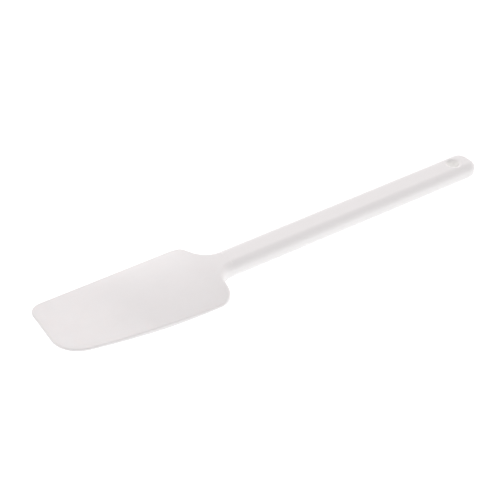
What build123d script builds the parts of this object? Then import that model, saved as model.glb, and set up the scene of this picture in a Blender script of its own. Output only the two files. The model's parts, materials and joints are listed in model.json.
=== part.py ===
from build123d import *

import os
from math import cos, radians, sin, tan

# Kitchen spatula: a stiff moulded handle and a soft blade that is moulded on the handle's tang.
# Millimetres. +X runs from the blade's tip to the handle's butt and +Z is up. The origin is half way
# along the object, on the handle's long axis in plan and at the level of its flat underside.

# ---- driving dimensions ----
overall_length = 343.0
tolerance = 0.05

handle_thickness = 12.8
neck_width = 19.8
butt_width = 21.2
handle_edge_radius = 5.4
butt_corner_radius = 8.2

hang_hole_radius = 4.5
hang_hole_from_butt = 17.0
hang_hole_rim_radius = 1.8

# The blade is not symmetric: its near side reaches further from the handle's axis, is bowed all
# the way from the shoulder to the tip, and has the rounder shoulder and tip corner.
far_edge_y = 32.2
far_shoulder_from_tip = 110.1
far_shoulder_angle = 75.0
far_shoulder_radius = 8.4
far_neck_radius = 13.0
far_tip_radius = 8.7
near_edge_y = -34.5
near_shoulder_from_tip = 111.9
near_shoulder_angle = 79.5
near_shoulder_radius = 13.3
near_neck_radius = 10.7
near_tip_radius = 20.0
near_bow_radius = 413.0
tip_slant = 2.15
tip_front_y = -4.0
collar_length = 2.0

edge_thickness = 2.0
edge_round = 0.85
hinge_from_tip = 50.5
hinge_gap = 0.3
nose_angles = (0, 25, 45, 62)

tang_width = 15.0
tang_thickness = 3.0
tang_end_from_tip = 59.0
tang_corner_radius = 6.0
stub_width = 12.0
stub_height = 7.0
stub_length = 14.0
stub_corner_radius = 2.0
window_length = 9.0
window_width = 6.0
window_pitch = 16.0
window_count = 3
first_window_from_end = 11.0

# The blade's half thickness on its centre line, as (distance from the tip, half thickness):
# thick over the tang, thin at the tip.
hinge_crown = 2.45
root_profile = ((63.5, 3.9), (75.5, 4.85), (96.5, 5.55))
root_start_crown = 2.75
collar_crown = 6.3
lip_profile = ((0.0, 1.02), (16.5, 1.1), (33.5, 1.4), (hinge_from_tip, hinge_crown))

# ---- places that follow from them ----
tip_x = -overall_length / 2
butt_x = overall_length / 2
mid_z = handle_thickness / 2
half_neck = neck_width / 2
half_edge = edge_thickness / 2
far_shoulder_x = tip_x + far_shoulder_from_tip
far_shoulder_drop = far_edge_y - half_neck
far_neck_x = far_shoulder_x + far_shoulder_drop / tan(radians(far_shoulder_angle))
near_shoulder_x = tip_x + near_shoulder_from_tip
near_shoulder_drop = -near_edge_y - half_neck
near_neck_x = near_shoulder_x + near_shoulder_drop / tan(radians(near_shoulder_angle))
hollow_end_x = far_neck_x + far_neck_radius * tan(radians(far_shoulder_angle / 2))
seam_x = hollow_end_x + collar_length
hinge_x = tip_x + hinge_from_tip
root_start_x = hinge_x + hinge_crown + hinge_gap
tang_end_x = tip_x + tang_end_from_tip
tang_length = seam_x + tang_corner_radius - tang_end_x
window_row_x = tang_end_x + first_window_from_end + window_pitch * (window_count - 1) / 2
hang_hole_x = butt_x - hang_hole_from_butt


def near_bow_y(x):
    """Y of the bowed near edge, which is furthest out at the near shoulder."""
    from_shoulder = near_shoulder_x - x
    drop = near_bow_radius - (near_bow_radius**2 - from_shoulder**2) ** 0.5
    return near_edge_y + drop


def tip_edge_x(y):
    """X of the slanted tip edge, which is furthest out at tip_front_y."""
    return tip_x + (y - tip_front_y) * tan(radians(tip_slant))


def on_hang_hole_rim(edge):
    """True on the edges where the hang hole leaves the handle's upper and lower surface."""
    middle = edge.position_at(0.5)
    from_axis = ((middle.X - hang_hole_x) ** 2 + middle.Y**2) ** 0.5
    on_wall = abs(from_axis - hang_hole_radius) < tolerance
    return on_wall and abs(middle.Z - mid_z) > mid_z / 2


def lens_section(x, crown, edge=half_edge):
    """The blade's cross-section at x: crowned above and below, with an upright edge each side."""
    with BuildSketch(Plane.YZ.offset(x)) as section:
        with BuildLine():
            top = ThreePointArc(
                (near_edge_y, mid_z + edge),
                (0, mid_z + crown),
                (far_edge_y, mid_z + edge),
            )
            bottom = ThreePointArc(
                (near_edge_y, mid_z - edge),
                (0, mid_z - crown),
                (far_edge_y, mid_z - edge),
            )
            Line(top @ 0, bottom @ 0)
            Line(top @ 1, bottom @ 1)
        make_face()
    return section.sketch


def nose_section(angle):
    """A section of the lip's rounded end, at this angle round the hinge axis from upright."""
    reach = hinge_crown * sin(radians(angle))
    height = cos(radians(angle))
    return lens_section(hinge_x + reach, hinge_crown * height, half_edge * height)


def on_blade_rim(edge):
    """True on the edges that run round the blade's outline above or below its upright edge."""
    middle = edge.center()
    at_outline = abs(middle.Y) > half_neck - tolerance or middle.X < tip_x + edge_thickness
    return at_outline and abs(middle.Z - mid_z) > half_edge - tolerance


os.makedirs("parts", exist_ok=True)

# ---- handle: one stiff moulding with a flat tang and a hang hole ----
with BuildPart() as handle:
    with BuildSketch(Plane.XY) as grip_plan:
        with BuildLine():
            Polyline(
                (seam_x, -half_neck),
                (butt_x, -butt_width / 2),
                (butt_x, butt_width / 2),
                (seam_x, half_neck),
                close=True,
            )
        make_face()
        fillet(grip_plan.vertices().group_by(Axis.X)[-1], butt_corner_radius)
    extrude(amount=handle_thickness)
    grip_rims = handle.faces().filter_by(Axis.Z).edges()
    fillet(grip_rims.filter_by(lambda e: e.center().X > seam_x + tolerance), handle_edge_radius)

    with BuildSketch(Plane((hang_hole_x, 0, 0))):
        Circle(hang_hole_radius)
    extrude(amount=handle_thickness, mode=Mode.SUBTRACT)
    fillet(handle.edges().filter_by(on_hang_hole_rim), hang_hole_rim_radius)

    with BuildSketch(Plane.YZ.offset(seam_x - stub_length)):
        with Locations((0, mid_z)):
            RectangleRounded(stub_width, stub_height, stub_corner_radius)
    extrude(amount=stub_length)

    with BuildSketch(Plane((tang_end_x + tang_length / 2, 0, mid_z - tang_thickness / 2))):
        RectangleRounded(tang_length, tang_width, tang_corner_radius)
    extrude(amount=tang_thickness)
    with BuildSketch(Plane((window_row_x, 0, 0))):
        with GridLocations(window_pitch, 0, window_count, 1):
            SlotOverall(window_length, window_width)
    extrude(amount=handle_thickness, mode=Mode.SUBTRACT)
handle.part.label = "handle"

# ---- the blade's outline: straight far edge, bowed near edge, round shoulders into the neck ----
far_shoulder = (far_shoulder_x, far_edge_y)
far_neck = (far_neck_x, half_neck)
far_tip = (tip_edge_x(far_edge_y), far_edge_y)
near_shoulder = (near_shoulder_x, near_edge_y)
near_neck = (near_neck_x, -half_neck)
near_tip_x = tip_edge_x(near_bow_y(tip_x))
near_tip = (near_tip_x, near_bow_y(near_tip_x))
bow_middle_x = (near_shoulder_x + tip_x) / 2
corner_radii = (
    (far_shoulder, far_shoulder_radius),
    (far_neck, far_neck_radius),
    (far_tip, far_tip_radius),
    (near_shoulder, near_shoulder_radius),
    (near_neck, near_neck_radius),
    (near_tip, near_tip_radius),
)
with BuildSketch(Plane.XY) as blade_plan:
    with BuildLine():
        Polyline(near_tip, far_tip, far_shoulder, far_neck, (seam_x, half_neck))
        Line((seam_x, half_neck), (seam_x, -half_neck))
        Polyline((seam_x, -half_neck), near_neck, near_shoulder)
        ThreePointArc(near_shoulder, (bow_middle_x, near_bow_y(bow_middle_x)), near_tip)
    make_face()
    for corner, radius in corner_radii:
        fillet(blade_plan.vertices().sort_by_distance(Vector(*corner))[0], radius)

# ---- blade root: the thick part of the blade, moulded round the tang and through its windows ----
with BuildPart() as blade_root:
    first_section = lens_section(root_start_x, root_start_crown)
    last_section = lens_section(seam_x, collar_crown)
    middle_sections = [lens_section(tip_x + at, crown) for at, crown in root_profile]
    loft([first_section, *middle_sections, last_section])
    extrude(blade_plan.sketch, amount=handle_thickness, mode=Mode.INTERSECT)
    fillet(blade_root.edges().filter_by(on_blade_rim), edge_round)
    add(handle.part, mode=Mode.SUBTRACT)
blade_root.part.label = "blade_root"

# ---- blade lip: the free end of the blade, which flexes past the tang's end ----
# Its inner end is rounded about the hinge axis, so that it turns clear of the root.
with BuildPart() as blade_lip:
    loft([lens_section(tip_x + at, crown) for at, crown in lip_profile])
    loft([nose_section(angle) for angle in nose_angles], ruled=True)
    extrude(blade_plan.sketch, amount=handle_thickness, mode=Mode.INTERSECT)
    rims = blade_lip.edges().filter_by(on_blade_rim)
    fillet(rims.filter_by(lambda e: e.center().X < hinge_x - hinge_crown), edge_round)
blade_lip.part.label = "blade_lip"

export_step(handle.part, "parts/handle.step")
export_step(blade_root.part, "parts/blade_root.step")
export_step(blade_lip.part, "parts/blade_lip.step")
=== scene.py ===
import json
import math

import bpy
import numpy as np
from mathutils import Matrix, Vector


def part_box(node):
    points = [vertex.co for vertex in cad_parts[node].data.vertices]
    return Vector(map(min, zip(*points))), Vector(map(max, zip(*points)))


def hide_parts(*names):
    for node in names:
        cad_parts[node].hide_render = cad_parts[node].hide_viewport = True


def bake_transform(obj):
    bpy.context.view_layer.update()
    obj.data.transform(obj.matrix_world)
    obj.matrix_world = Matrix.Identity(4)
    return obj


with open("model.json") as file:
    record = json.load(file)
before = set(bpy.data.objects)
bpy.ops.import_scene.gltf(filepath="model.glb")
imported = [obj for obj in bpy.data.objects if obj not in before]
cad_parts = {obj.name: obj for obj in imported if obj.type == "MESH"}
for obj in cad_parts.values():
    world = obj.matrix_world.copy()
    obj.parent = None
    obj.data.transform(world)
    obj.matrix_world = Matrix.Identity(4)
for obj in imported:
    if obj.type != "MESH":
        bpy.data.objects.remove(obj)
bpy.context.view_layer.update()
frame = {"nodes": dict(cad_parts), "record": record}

# ---- places and sizes from the CAD frame, in metres ----
MM = 0.001
TINY = 1e-9
grip_low, grip_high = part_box("handle")
root_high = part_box("blade_root")[1]
lip_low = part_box("blade_lip")[0]
MID_Z = (grip_low.z + grip_high.z) / 2
HALF_THICK = (grip_high.z - grip_low.z) / 2
TIP_X = lip_low.x
SEAM_X = root_high.x
BUTT_X = grip_high.x
FAR_EDGE = root_high.y
HOLE_X = frame["record"]["mounts"][0]["pos_m"][0]
HOLE_RADIUS = frame["record"]["mounts"][0]["dims"]["r_mm"] * MM

# ---- the blade's outline: the same sizes as the CAD part has ----
NECK_HALF = 9.9 * MM
NEAR_EDGE = 34.5 * MM
STRAIGHT = 1000.0  # the far edge's bow radius, a kilometre: as good as straight
BOW_RADIUS = 413.0 * MM
TIP_SLANT = math.radians(2.15)
TIP_FRONT_Y = -4.0 * MM
ARC_POINTS = 181


class Side:
    """One side of the blade's outline, described as if it were the far side, where Y is positive."""

    def __init__(self, sign, edge, bow, shoulder_from_tip, angle, shoulder_radius, neck_radius, tip_radius):
        self.sign = sign
        self.edge = edge
        self.bow = bow
        self.corner_x = TIP_X + shoulder_from_tip
        self.angle = math.radians(angle)
        self.shoulder_radius = shoulder_radius
        self.neck_radius = neck_radius
        self.tip_radius = tip_radius
        self.bow_centre = np.array([self.corner_x, edge - bow])


FAR_SIDE = Side(
    sign=1,
    edge=FAR_EDGE,
    bow=STRAIGHT,
    shoulder_from_tip=110.1 * MM,
    angle=75.0,
    shoulder_radius=8.4 * MM,
    neck_radius=13.0 * MM,
    tip_radius=8.7 * MM,
)
NEAR_SIDE = Side(
    sign=-1,
    edge=NEAR_EDGE,
    bow=BOW_RADIUS,
    shoulder_from_tip=111.9 * MM,
    angle=79.5,
    shoulder_radius=13.3 * MM,
    neck_radius=10.7 * MM,
    tip_radius=20.0 * MM,
)

# ---- the blade's thickness ----
HALF_EDGE = 1.0 * MM
EDGE_ROUND = 0.85 * MM
NECK_ROUND = 5.4 * MM
NECK_BLEND = 24.0 * MM
SEAM_CHAMFER = 0.03 * MM
# distance from the tip and half thickness on the centre line, both in millimetres
CROWN = ((0.0, 1.02), (16.5, 1.12), (33.5, 1.48), (43.0, 1.92), (50.5, 2.55), (57.0, 3.4), (63.5, 4.3),
         (71.0, 4.95), (82.0, 5.35), (100.0, 5.75), (118.0, 6.2), (128.0, 6.4))

# ---- the blade's mesh ----
ROW_LENGTH = 1.6 * MM
ROWS_PER_RADIAN = 11.5
RIM_DEPTH = 3.0 * MM
RIM_FIRST = 0.03 * MM
RIM_GROWTH = 1.45
INNER_RINGS = 16
SPINE_STOP = 18.0 * MM
SHARP_ANGLE = math.radians(50)

# ---- colours and wear ----
BLADE_CLEAN = (0.893, 0.887, 0.887)
BLADE_DULL = (0.878, 0.871, 0.871)
BLADE_SCUFF = (0.8, 0.78, 0.775)
HANDLE_CLEAN = (0.885, 0.88, 0.88)
HANDLE_DULL = (0.87, 0.864, 0.864)
HANDLE_SCUFF = (0.79, 0.78, 0.775)
# painted light: the hang hole's wall is painted lighter than the plastic, standing in for light that
# reaches into the hole
HOLE_WALL_PAINTED_LIGHT = (0.975, 0.97, 0.96)
WEAR_WIDTH = 5.0 * MM
WEAR_REACH = 4 * WEAR_WIDTH
FAR_FROM_TIP_WEAR = 0.4
LEAST_WEAR = 0.25
BUTT_PATCHES = (0.48, 0.68)
# reach of the hang hole's painted light, as distances from its axis: full inside the first, gone at the
# second
HOLE_EDGE = (HOLE_RADIUS + 0.2 * MM, HOLE_RADIUS + 1.5 * MM)
# scratches: length, width, direction in degrees from +X, and the share of the noise that they take
BLADE_SCRATCHES = ((9 * MM, 0.16 * MM, 82, 0.34), (6 * MM, 0.14 * MM, 63, 0.33))
HANDLE_SCRATCHES = ((14 * MM, 0.12 * MM, 8, 0.33), (8 * MM, 0.1 * MM, -31, 0.32))
BLADE_SCRATCH_TINT = 0.22
BLADE_WEAR_TINT = 0.18
BLADE_WEAR_ROUGH = 0.12
HANDLE_SCRATCH_TINT = 0.15
HANDLE_WEAR_TINT = 0.3
HANDLE_WEAR_ROUGH = 0.1

# ---- surface: noise scales are cycles in a metre, followed by the detail and its roughness ----
BLADE_CLOUD = (70.0, 4.0, 0.6)
BLADE_GRAIN = (3800.0, 2.0, 0.6)
BLADE_PATCH = (420.0, 3.0, 0.6)
HANDLE_CLOUD = (55.0, 4.0, 0.6)
FLOW_STRETCH = (14, 260, 260)
FLOW_DETAIL = 3.0
HANDLE_GRAIN = (2600.0, 2.0, 0.55)
HANDLE_PATCH = (320.0, 4.0, 0.65)
CLOUD_RANGE = (0.35, 0.65)
TONE_RANGE = (0.38, 0.62)
ROUGH_RANGE = (0.3, 0.7)
BLADE_ROUGH = (0.52, 0.62)
HANDLE_ROUGH = (0.4, 0.48)
# bump: height, strength
BLADE_LINE_BUMP = (0.01 * MM, 0.3)
BLADE_GRAIN_BUMP = (0.03 * MM, 0.3)
HANDLE_LINE_BUMP = (0.008 * MM, 0.3)
HANDLE_GRAIN_BUMP = (0.02 * MM, 0.2)

# ---- the rubber's translucence, less at the rim and at the seam, where it would leak light ----
SOFT_RADIUS = (1.0, 0.92, 0.9)
SOFT_SCALE = 2.0 * MM
SOFT_RIM = 4.0 * MM
SOFT_RIM_SHARE = 0.15
SOFT_SEAM = 12.0 * MM
SOFT_WEIGHT = 0.25


# ---- outline of the blade ----
def arc(centre, radius, start, end):
    """Points round a centre from one angle to another, in radians from +X."""
    angle = np.linspace(start, end, ARC_POINTS)
    return np.asarray(centre) + radius * np.stack([np.cos(angle), np.sin(angle)], -1)


def angle_of(vector):
    return math.atan2(vector[1], vector[0])


def shoulder_centre(side):
    """Centre of the arc that touches the shoulder's slope and the bowed edge."""
    turn = 2 * side.bow * side.shoulder_radius * (1 - math.cos(side.angle))
    reach = side.bow * math.sin(side.angle)
    down_slope = reach - math.sqrt(reach**2 - turn)
    normal = np.array([math.sin(side.angle), math.cos(side.angle)])
    slope = np.array([math.cos(side.angle), -math.sin(side.angle)])
    return np.array([side.corner_x, side.edge]) - side.shoulder_radius * normal + down_slope * slope


def tip_centre(side, normal):
    """Centre of the arc that touches the bowed edge and the slanted tip edge."""
    front = np.array([TIP_X, side.sign * TIP_FRONT_Y])
    edge = np.array([normal[1], -normal[0]])
    start = front - side.tip_radius * normal
    offset = start - side.bow_centre
    middle = offset @ edge
    along_edge = math.sqrt(middle**2 - offset @ offset + (side.bow - side.tip_radius) ** 2) - middle
    return start + along_edge * edge


def outline(side):
    """From the seam round the neck and the shoulder, along the edge, to the middle of the tip."""
    quarter = math.pi / 2
    neck_x = side.corner_x + (side.edge - NECK_HALF) / math.tan(side.angle)
    hollow_x = neck_x + side.neck_radius * math.tan(side.angle / 2)
    hollow_centre = (hollow_x, NECK_HALF + side.neck_radius)
    shoulder = shoulder_centre(side)
    edge_start = angle_of(shoulder - side.bow_centre)
    tip_angle = math.pi - side.sign * TIP_SLANT
    corner = tip_centre(side, np.array([math.cos(tip_angle), math.sin(tip_angle)]))
    edge_end = angle_of(corner - side.bow_centre)
    tip_middle_x = TIP_X - TIP_FRONT_Y * math.tan(TIP_SLANT)
    points = np.vstack([
        [(SEAM_X, NECK_HALF)],
        arc(hollow_centre, side.neck_radius, -quarter, -quarter - side.angle),
        arc(shoulder, side.shoulder_radius, quarter - side.angle, edge_start),
        arc(side.bow_centre, side.bow, edge_start, edge_end),
        arc(corner, side.tip_radius, edge_end, tip_angle),
        [(tip_middle_x, 0.0)],
    ])
    return points * (1, side.sign)


def along(points):
    """Distance along a polyline at each of its points."""
    steps = np.linalg.norm(np.diff(points, axis=0), axis=1)
    return np.concatenate([[0.0], np.cumsum(steps)])


def row_weight(points):
    """A measure along the polyline that grows with its length and with its turning."""
    step = np.diff(points, axis=0)
    heading = np.unwrap(np.arctan2(step[:, 1], step[:, 0]))
    turning = np.concatenate([[0.0], np.cumsum(np.abs(np.diff(heading))), [0.0]])
    turning[-1] = turning[-2]
    return along(points) / ROW_LENGTH + turning * ROWS_PER_RADIAN


def resampled(points, count):
    """The polyline's points, inward normals and share of its length at evenly weighted rows."""
    points = points[np.concatenate([[True], np.diff(along(points)) > TINY])]
    weight = row_weight(points)
    length = along(points)
    at = np.interp(np.linspace(0, weight[-1], count - 1), weight, length)
    at = np.insert(at, 1, SEAM_CHAMFER)
    place = np.stack([np.interp(at, length, points[:, 0]), np.interp(at, length, points[:, 1])], -1)
    ahead = np.gradient(place, at, axis=0)
    ahead /= np.linalg.norm(ahead, axis=1)[:, None]
    ahead[0] = (-1, 0)
    ahead[-1] = (0, -1 if points[1, 1] > 0 else 1)
    inward = np.stack([-ahead[:, 1], ahead[:, 0]], -1)
    if points[1, 1] < 0:
        inward = -inward
    return place, inward, at / length[-1]


# ---- thickness of the blade ----
def smoothstep(value, low, high):
    t = np.clip((value - low) / (high - low), 0.0, 1.0)
    return t * t * (3 - 2 * t)


def crown(x):
    """Half thickness on the centre line: a smooth curve through the heights of CROWN."""
    at, height = np.array(CROWN).T * MM
    slope = np.gradient(height, at)
    run = np.clip(x - TIP_X, at[0], at[-1])
    k = np.clip(np.searchsorted(at, run) - 1, 0, len(at) - 2)
    width = at[k + 1] - at[k]
    t = (run - at[k]) / width
    rise = height[k + 1] - height[k]
    start = width * slope[k] * (t**3 - 2 * t**2 + t)
    end = width * slope[k + 1] * (t**3 - t**2)
    return height[k] + rise * (3 * t**2 - 2 * t**3) + start + end


def distance_to(points, line):
    """Each point's distance to a polyline."""
    start, step = line[:-1], np.diff(line, axis=0)
    square = np.maximum((step**2).sum(-1), TINY**2)
    nearest = np.empty(len(points))
    for i, point in enumerate(points):
        offset = point - start
        share = np.clip((offset * step).sum(-1) / square, 0, 1)
        nearest[i] = np.sqrt(((offset - share[:, None] * step) ** 2).sum(-1).min())
    return nearest


def half_thickness(place, gap):
    """Half thickness at points of the plan, where gap is the distance to the outline."""
    x, y = place.T
    across = np.where(y > 0, y / FAR_EDGE, y / NEAR_EDGE)
    lens = HALF_EDGE + (crown(x) - HALF_EDGE) * (1 - across**2)
    to_neck = smoothstep(x, SEAM_X - NECK_BLEND, SEAM_X)
    body = lens + (HALF_THICK - lens) * to_neck
    radius = EDGE_ROUND + (NECK_ROUND - EDGE_ROUND) * to_neck
    into_rim = np.clip(radius - gap, 0, radius)
    return body - radius + np.sqrt(radius**2 - into_rim**2)


# ---- mesh of the blade ----
def graded(total):
    """Distances from 0 to the total, with steps that grow."""
    steps = [RIM_FIRST]
    while sum(steps) < total:
        steps.append(steps[-1] * RIM_GROWTH)
    run = np.concatenate([[0.0], np.cumsum(steps)])
    return run * total / run[-1]


def half_grid(place, inward, spine):
    """Plan points from the rim (first column) to the spine (last column), one row per outline point."""
    rim = place[:, None] + inward[:, None] * graded(RIM_DEPTH)[None, :, None]
    share = np.linspace(0, 1, INNER_RINGS + 1)[1:]
    inner = rim[:, -1:] + (spine[:, None] - rim[:, -1:]) * share[None, :, None]
    return np.concatenate([rim, inner], axis=1)


def blade_grids():
    """The far and the near half of the plan; they share the spine and the last row."""
    outlines = outline(FAR_SIDE), outline(NEAR_SIDE)
    rows = round(max(row_weight(points)[-1] for points in outlines))
    sides = [resampled(points, rows) for points in outlines]
    share = (sides[0][2] + sides[1][2]) / 2
    spine = np.stack([SEAM_X + (TIP_X + SPINE_STOP - SEAM_X) * share, np.zeros(rows)], -1)
    return [half_grid(place, inward, spine) for place, inward, _ in sides]


def grid_faces(index, turned):
    """The quads of a grid of vertex numbers."""
    faces = []
    for i in range(index.shape[0] - 1):
        for j in range(index.shape[1] - 1):
            quad = (index[i, j], index[i + 1, j], index[i + 1, j + 1], index[i, j + 1])
            faces.append(quad[::-1] if turned else quad)
    return faces


def make_blade():
    far, near = blade_grids()
    rows, columns = far.shape[:2]
    own = np.ones((rows, columns), bool)
    own[-1, :] = False
    own[:, -1] = False
    far_index = np.arange(rows * columns).reshape(rows, columns)
    near_index = far_index.copy()
    near_index[own] = rows * columns + np.arange(own.sum())
    plan = np.vstack([far.reshape(-1, 2), near[own]])
    gap = distance_to(plan, np.vstack([outline(FAR_SIDE), outline(NEAR_SIDE)[::-1]]))
    half = half_thickness(plan, gap)
    at_seam = np.concatenate([far_index[0], near_index[0]])
    plan[at_seam, 1] *= 1 - SEAM_CHAMFER / NECK_HALF
    half[at_seam] -= SEAM_CHAMFER

    count = len(plan)
    top = grid_faces(far_index, False) + grid_faces(near_index, True)
    bottom = [tuple(vertex + count for vertex in face[::-1]) for face in top]
    rim = list(far_index[:, 0]) + list(near_index[-2::-1, 0])
    seam = list(near_index[0, :]) + list(far_index[0, -2::-1])
    loop = rim + seam[1:-1]
    wall = [(b, a, a + count, b + count) for a, b in zip(loop, loop[1:] + loop[:1])]
    corners = np.vstack([np.column_stack([plan, MID_Z + half]), np.column_stack([plan, MID_Z - half])])

    mesh = bpy.data.meshes.new("blade")
    faces = [tuple(int(vertex) for vertex in face) for face in top + bottom + wall]
    mesh.from_pydata(corners.tolist(), [], faces)
    mesh.shade_smooth()
    mesh.set_sharp_from_angle(angle=SHARP_ANGLE)
    place = mesh.attributes.new("rest_place", "FLOAT_VECTOR", "POINT")
    place.data.foreach_set("vector", corners.ravel())
    rim_gap = mesh.attributes.new("rim_gap", "FLOAT", "POINT")
    rim_gap.data.foreach_set("value", np.tile(gap, 2))
    piece = bpy.data.objects.new("blade", mesh)
    bpy.context.collection.objects.link(piece)
    return piece


# ---- materials ----
# the Mix node's colour sockets, which share their names with its sockets for other kinds of value
MIX_FIRST, MIX_SECOND, MIX_RESULT = 6, 7, 2


class Nodes:
    """A material's node tree, with short calls for the nodes that are used here."""

    def __init__(self, name, roughness):
        self.material = bpy.data.materials.new(name)
        self.material.use_nodes = True
        self.tree = self.material.node_tree
        self.shader = self.tree.nodes["Principled BSDF"]
        self.shader.inputs["Roughness"].default_value = roughness

    def add(self, kind, **settings):
        node = self.tree.nodes.new(kind)
        for name, value in settings.items():
            setattr(node, name, value)
        return node

    def link(self, output, socket):
        self.tree.links.new(output, socket)

    def scaled(self, vector, scale, turn=0.0):
        """The place, turned about +Z by some degrees and scaled by three factors."""
        node = self.add("ShaderNodeMapping")
        node.inputs["Rotation"].default_value = (0, 0, math.radians(turn))
        node.inputs["Scale"].default_value = scale
        self.link(vector, node.inputs["Vector"])
        return node.outputs["Vector"]

    def noise(self, vector, scale, detail=2.0, roughness=0.5):
        node = self.add("ShaderNodeTexNoise")
        node.inputs["Scale"].default_value = scale
        node.inputs["Detail"].default_value = detail
        node.inputs["Roughness"].default_value = roughness
        self.link(vector, node.inputs["Vector"])
        return node.outputs["Fac"]

    def ranged(self, value, low, high, to_low, to_high):
        """The value's range low to high, mapped to another range and clamped to it."""
        node = self.add("ShaderNodeMapRange")
        limits = {"From Min": low, "From Max": high, "To Min": to_low, "To Max": to_high}
        for name, number in limits.items():
            node.inputs[name].default_value = number
        self.link(value, node.inputs["Value"])
        return node.outputs["Result"]

    def math(self, operation, first, second):
        node = self.add("ShaderNodeMath", operation=operation)
        for socket, value in zip(node.inputs, (first, second)):
            if isinstance(value, float):
                socket.default_value = value
            else:
                self.link(value, socket)
        return node.outputs["Value"]

    def mixed(self, factor, first, second):
        """A colour between two, each a colour or an output."""
        node = self.add("ShaderNodeMix", data_type="RGBA")
        self.link(factor, node.inputs["Factor"])
        for socket, value in ((node.inputs[MIX_FIRST], first), (node.inputs[MIX_SECOND], second)):
            if isinstance(value, tuple):
                socket.default_value = (*value, 1)
            else:
                self.link(value, socket)
        return node.outputs[MIX_RESULT]

    def bump(self, height, distance, strength, below=None):
        node = self.add("ShaderNodeBump")
        node.inputs["Distance"].default_value = distance
        node.inputs["Strength"].default_value = strength
        self.link(height, node.inputs["Height"])
        if below:
            self.link(below, node.inputs["Normal"])
        return node.outputs["Normal"]

    def scratches(self, vector, length, width, turn, share):
        """Thin straight lines in one direction: 1 on a line, 0 between."""
        stretched = self.scaled(vector, (1 / length, 1 / width, 1 / width), turn)
        return self.ranged(self.noise(stretched, 1.0, 0.0), 1 - share, 1 - share / 2, 0.0, 1.0)


def blade_rubber():
    """White rubber: matt, with a fine moulded grain, faint clouding and worn, slightly grey rims."""
    nodes = Nodes("blade_rubber", 0.6)
    place = nodes.add("ShaderNodeAttribute", attribute_name="rest_place").outputs["Vector"]
    gap = nodes.add("ShaderNodeAttribute", attribute_name="rim_gap").outputs["Fac"]
    split = nodes.add("ShaderNodeSeparateXYZ")
    nodes.link(place, split.inputs["Vector"])
    length = split.outputs["X"]
    wear = nodes.math("MULTIPLY",
                      nodes.ranged(gap, 0.0, WEAR_WIDTH, 1.0, 0.0),
                      nodes.ranged(length, TIP_X, TIP_X + WEAR_REACH, 1.0, FAR_FROM_TIP_WEAR))
    cloud = nodes.noise(place, *BLADE_CLOUD)
    grain = nodes.noise(place, *BLADE_GRAIN)
    patches = nodes.noise(place, *BLADE_PATCH)
    scuffs = nodes.math("MAXIMUM", *[nodes.scratches(place, *sizes) for sizes in BLADE_SCRATCHES])
    worn = nodes.math("MULTIPLY", wear, nodes.ranged(patches, *CLOUD_RANGE, LEAST_WEAR, 1.0))

    clean = nodes.mixed(nodes.ranged(cloud, *CLOUD_RANGE, 0.0, 1.0), BLADE_DULL, BLADE_CLEAN)
    scuffed = nodes.mixed(nodes.math("MULTIPLY", scuffs, BLADE_SCRATCH_TINT), clean, BLADE_SCUFF)
    nodes.link(nodes.mixed(nodes.math("MULTIPLY", worn, BLADE_WEAR_TINT), scuffed, BLADE_SCUFF),
               nodes.shader.inputs["Base Color"])
    rough = nodes.ranged(cloud, *ROUGH_RANGE, *BLADE_ROUGH)
    nodes.link(nodes.math("ADD", rough, nodes.math("MULTIPLY", worn, BLADE_WEAR_ROUGH)),
               nodes.shader.inputs["Roughness"])
    lines = nodes.bump(scuffs, *BLADE_LINE_BUMP)
    nodes.link(nodes.bump(grain, *BLADE_GRAIN_BUMP, lines), nodes.shader.inputs["Normal"])
    inside = nodes.math("MULTIPLY",
                        nodes.ranged(gap, 0.0, SOFT_RIM, SOFT_RIM_SHARE, 1.0),
                        nodes.ranged(length, SEAM_X - SOFT_SEAM, SEAM_X - MM, SOFT_WEIGHT, 0.0))
    nodes.link(inside, nodes.shader.inputs["Subsurface Weight"])
    nodes.shader.inputs["Subsurface Radius"].default_value = SOFT_RADIUS
    nodes.shader.inputs["Subsurface Scale"].default_value = SOFT_SCALE
    return nodes.material


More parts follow.
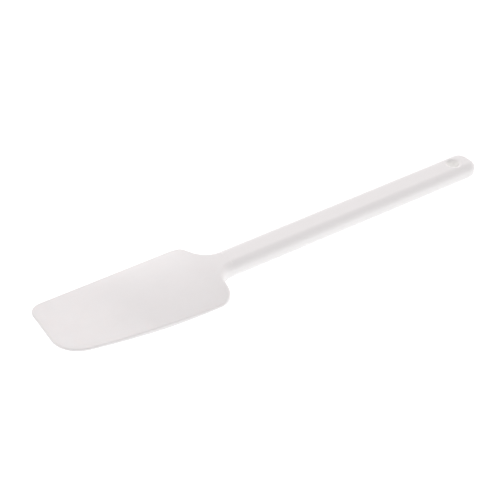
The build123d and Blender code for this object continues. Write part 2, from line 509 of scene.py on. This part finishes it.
def handle_plastic():
    """White moulded plastic: satin, with faint flow lines, fine handling scratches and a worn butt.

    The hang hole's wall is painted lighter than the rest, as painted light inside the hole, so that it
    reads as bright as the photo's does.
    """
    nodes = Nodes("handle_plastic", 0.45)
    place = nodes.add("ShaderNodeTexCoord").outputs["Object"]
    cloud = nodes.noise(place, *HANDLE_CLOUD)
    flow = nodes.noise(nodes.scaled(place, FLOW_STRETCH), 1.0, FLOW_DETAIL)
    grain = nodes.noise(place, *HANDLE_GRAIN)
    scratches = nodes.math("MAXIMUM", *[nodes.scratches(place, *sizes) for sizes in HANDLE_SCRATCHES])
    split = nodes.add("ShaderNodeSeparateXYZ")
    nodes.link(place, split.inputs["Vector"])
    butt = nodes.ranged(split.outputs["X"], HOLE_X - WEAR_REACH, BUTT_X, 0.0, 1.0)
    patches = nodes.ranged(nodes.noise(place, *HANDLE_PATCH), *BUTT_PATCHES, 0.0, 1.0)
    worn = nodes.math("MULTIPLY", butt, patches)

    tone = nodes.math("MULTIPLY", nodes.math("ADD", cloud, flow), 0.5)
    clean = nodes.mixed(nodes.ranged(tone, *TONE_RANGE, 0.0, 1.0), HANDLE_DULL, HANDLE_CLEAN)
    scuffed = nodes.mixed(nodes.math("MULTIPLY", scratches, HANDLE_SCRATCH_TINT), clean, HANDLE_SCUFF)
    outside = nodes.mixed(nodes.math("MULTIPLY", worn, HANDLE_WEAR_TINT), scuffed, HANDLE_SCUFF)
    # painted light: the hang hole's wall and a narrow ring round its rims are painted lighter, standing in
    # for light inside the hole
    from_hole = nodes.add("ShaderNodeVectorMath", operation="DISTANCE")
    nodes.link(nodes.scaled(place, (1, 1, 0)), from_hole.inputs[0])
    from_hole.inputs[1].default_value = (HOLE_X, 0, 0)
    hole_painted_light = nodes.ranged(from_hole.outputs["Value"], *HOLE_EDGE, 1.0, 0.0)
    nodes.link(nodes.mixed(hole_painted_light, outside, HOLE_WALL_PAINTED_LIGHT), nodes.shader.inputs["Base Color"])
    rough = nodes.ranged(cloud, *ROUGH_RANGE, *HANDLE_ROUGH)
    marked = nodes.math("MAXIMUM", scratches, worn)
    nodes.link(nodes.math("ADD", rough, nodes.math("MULTIPLY", marked, HANDLE_WEAR_ROUGH)),
               nodes.shader.inputs["Roughness"])
    lines = nodes.bump(scratches, *HANDLE_LINE_BUMP)
    nodes.link(nodes.bump(grain, *HANDLE_GRAIN_BUMP, lines), nodes.shader.inputs["Normal"])
    return nodes.material


blade = make_blade()
blade.data.materials.append(blade_rubber())
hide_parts("blade_root", "blade_lip")
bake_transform(blade)

handle = frame["nodes"]["handle"]
plastic = handle_plastic()
for slot in handle.material_slots:
    slot.material = plastic

# ---- floor: pale and evenly lit, so that the shadows stay white ----
FLOOR_SIZE = 12
FLOOR_GREY = (0.35, 0.35, 0.35, 1)
FLOOR_GLOW = 1.0
FLOOR_ROUGHNESS = 0.9
bpy.ops.mesh.primitive_plane_add(size=FLOOR_SIZE, location=(0, 0, 0))
floor = bpy.context.object
floor.name = "floor"
floor_nodes = Nodes("floor", FLOOR_ROUGHNESS)
floor_nodes.shader.inputs["Base Color"].default_value = FLOOR_GREY
floor_nodes.shader.inputs["Emission Color"].default_value = (1, 1, 1, 1)
floor_nodes.shader.inputs["Emission Strength"].default_value = FLOOR_GLOW
floor.data.materials.append(floor_nodes.material)

# ---- light: a soft white surround, brighter behind the object than behind the camera ----
CAMERA_AZIMUTH = math.radians(-34.6)
CAMERA_ELEVATION = math.radians(36.75)
SURROUND = 0.9
SURROUND_SLOPE = 0.53
SURROUND_TINT = (1, 0.966, 0.968, 1)
world = bpy.data.worlds.new("studio")
bpy.context.scene.world = world
world.use_nodes = True
nodes, links = world.node_tree.nodes, world.node_tree.links
direction = nodes.new("ShaderNodeTexCoord")
slope = nodes.new("ShaderNodeVectorMath")
slope.operation = "DOT_PRODUCT"
away = Vector((-math.sin(CAMERA_AZIMUTH), math.cos(CAMERA_AZIMUTH), 0))
slope.inputs[1].default_value = away * SURROUND_SLOPE
links.new(direction.outputs["Generated"], slope.inputs[0])
strength = nodes.new("ShaderNodeMath")
strength.operation = "ADD"
strength.inputs[1].default_value = SURROUND
links.new(slope.outputs["Value"], strength.inputs[0])
links.new(strength.outputs[0], nodes["Background"].inputs["Strength"])
nodes["Background"].inputs["Color"].default_value = SURROUND_TINT

# ---- camera ----
SENSOR_MM = 36
LENS_MM = 80.09
CLIP_START = 0.01
CAMERA_DISTANCE = 0.736
TARGET = Vector((-0.02227, 0.00405, MID_Z))
camera = bpy.data.objects.new("camera", bpy.data.cameras.new("camera"))
bpy.context.collection.objects.link(camera)
camera.data.sensor_width = SENSOR_MM
camera.data.lens = LENS_MM
camera.data.clip_start = CLIP_START
back = Vector((math.sin(CAMERA_AZIMUTH) * math.cos(CAMERA_ELEVATION),
               -math.cos(CAMERA_AZIMUTH) * math.cos(CAMERA_ELEVATION),
               math.sin(CAMERA_ELEVATION)))
camera.location = TARGET + back * CAMERA_DISTANCE
camera.rotation_mode = "QUATERNION"
camera.rotation_quaternion = (-back).to_track_quat("-Z", "Y")
bpy.context.scene.camera = camera
bpy.context.scene.view_settings.view_transform = "Standard"
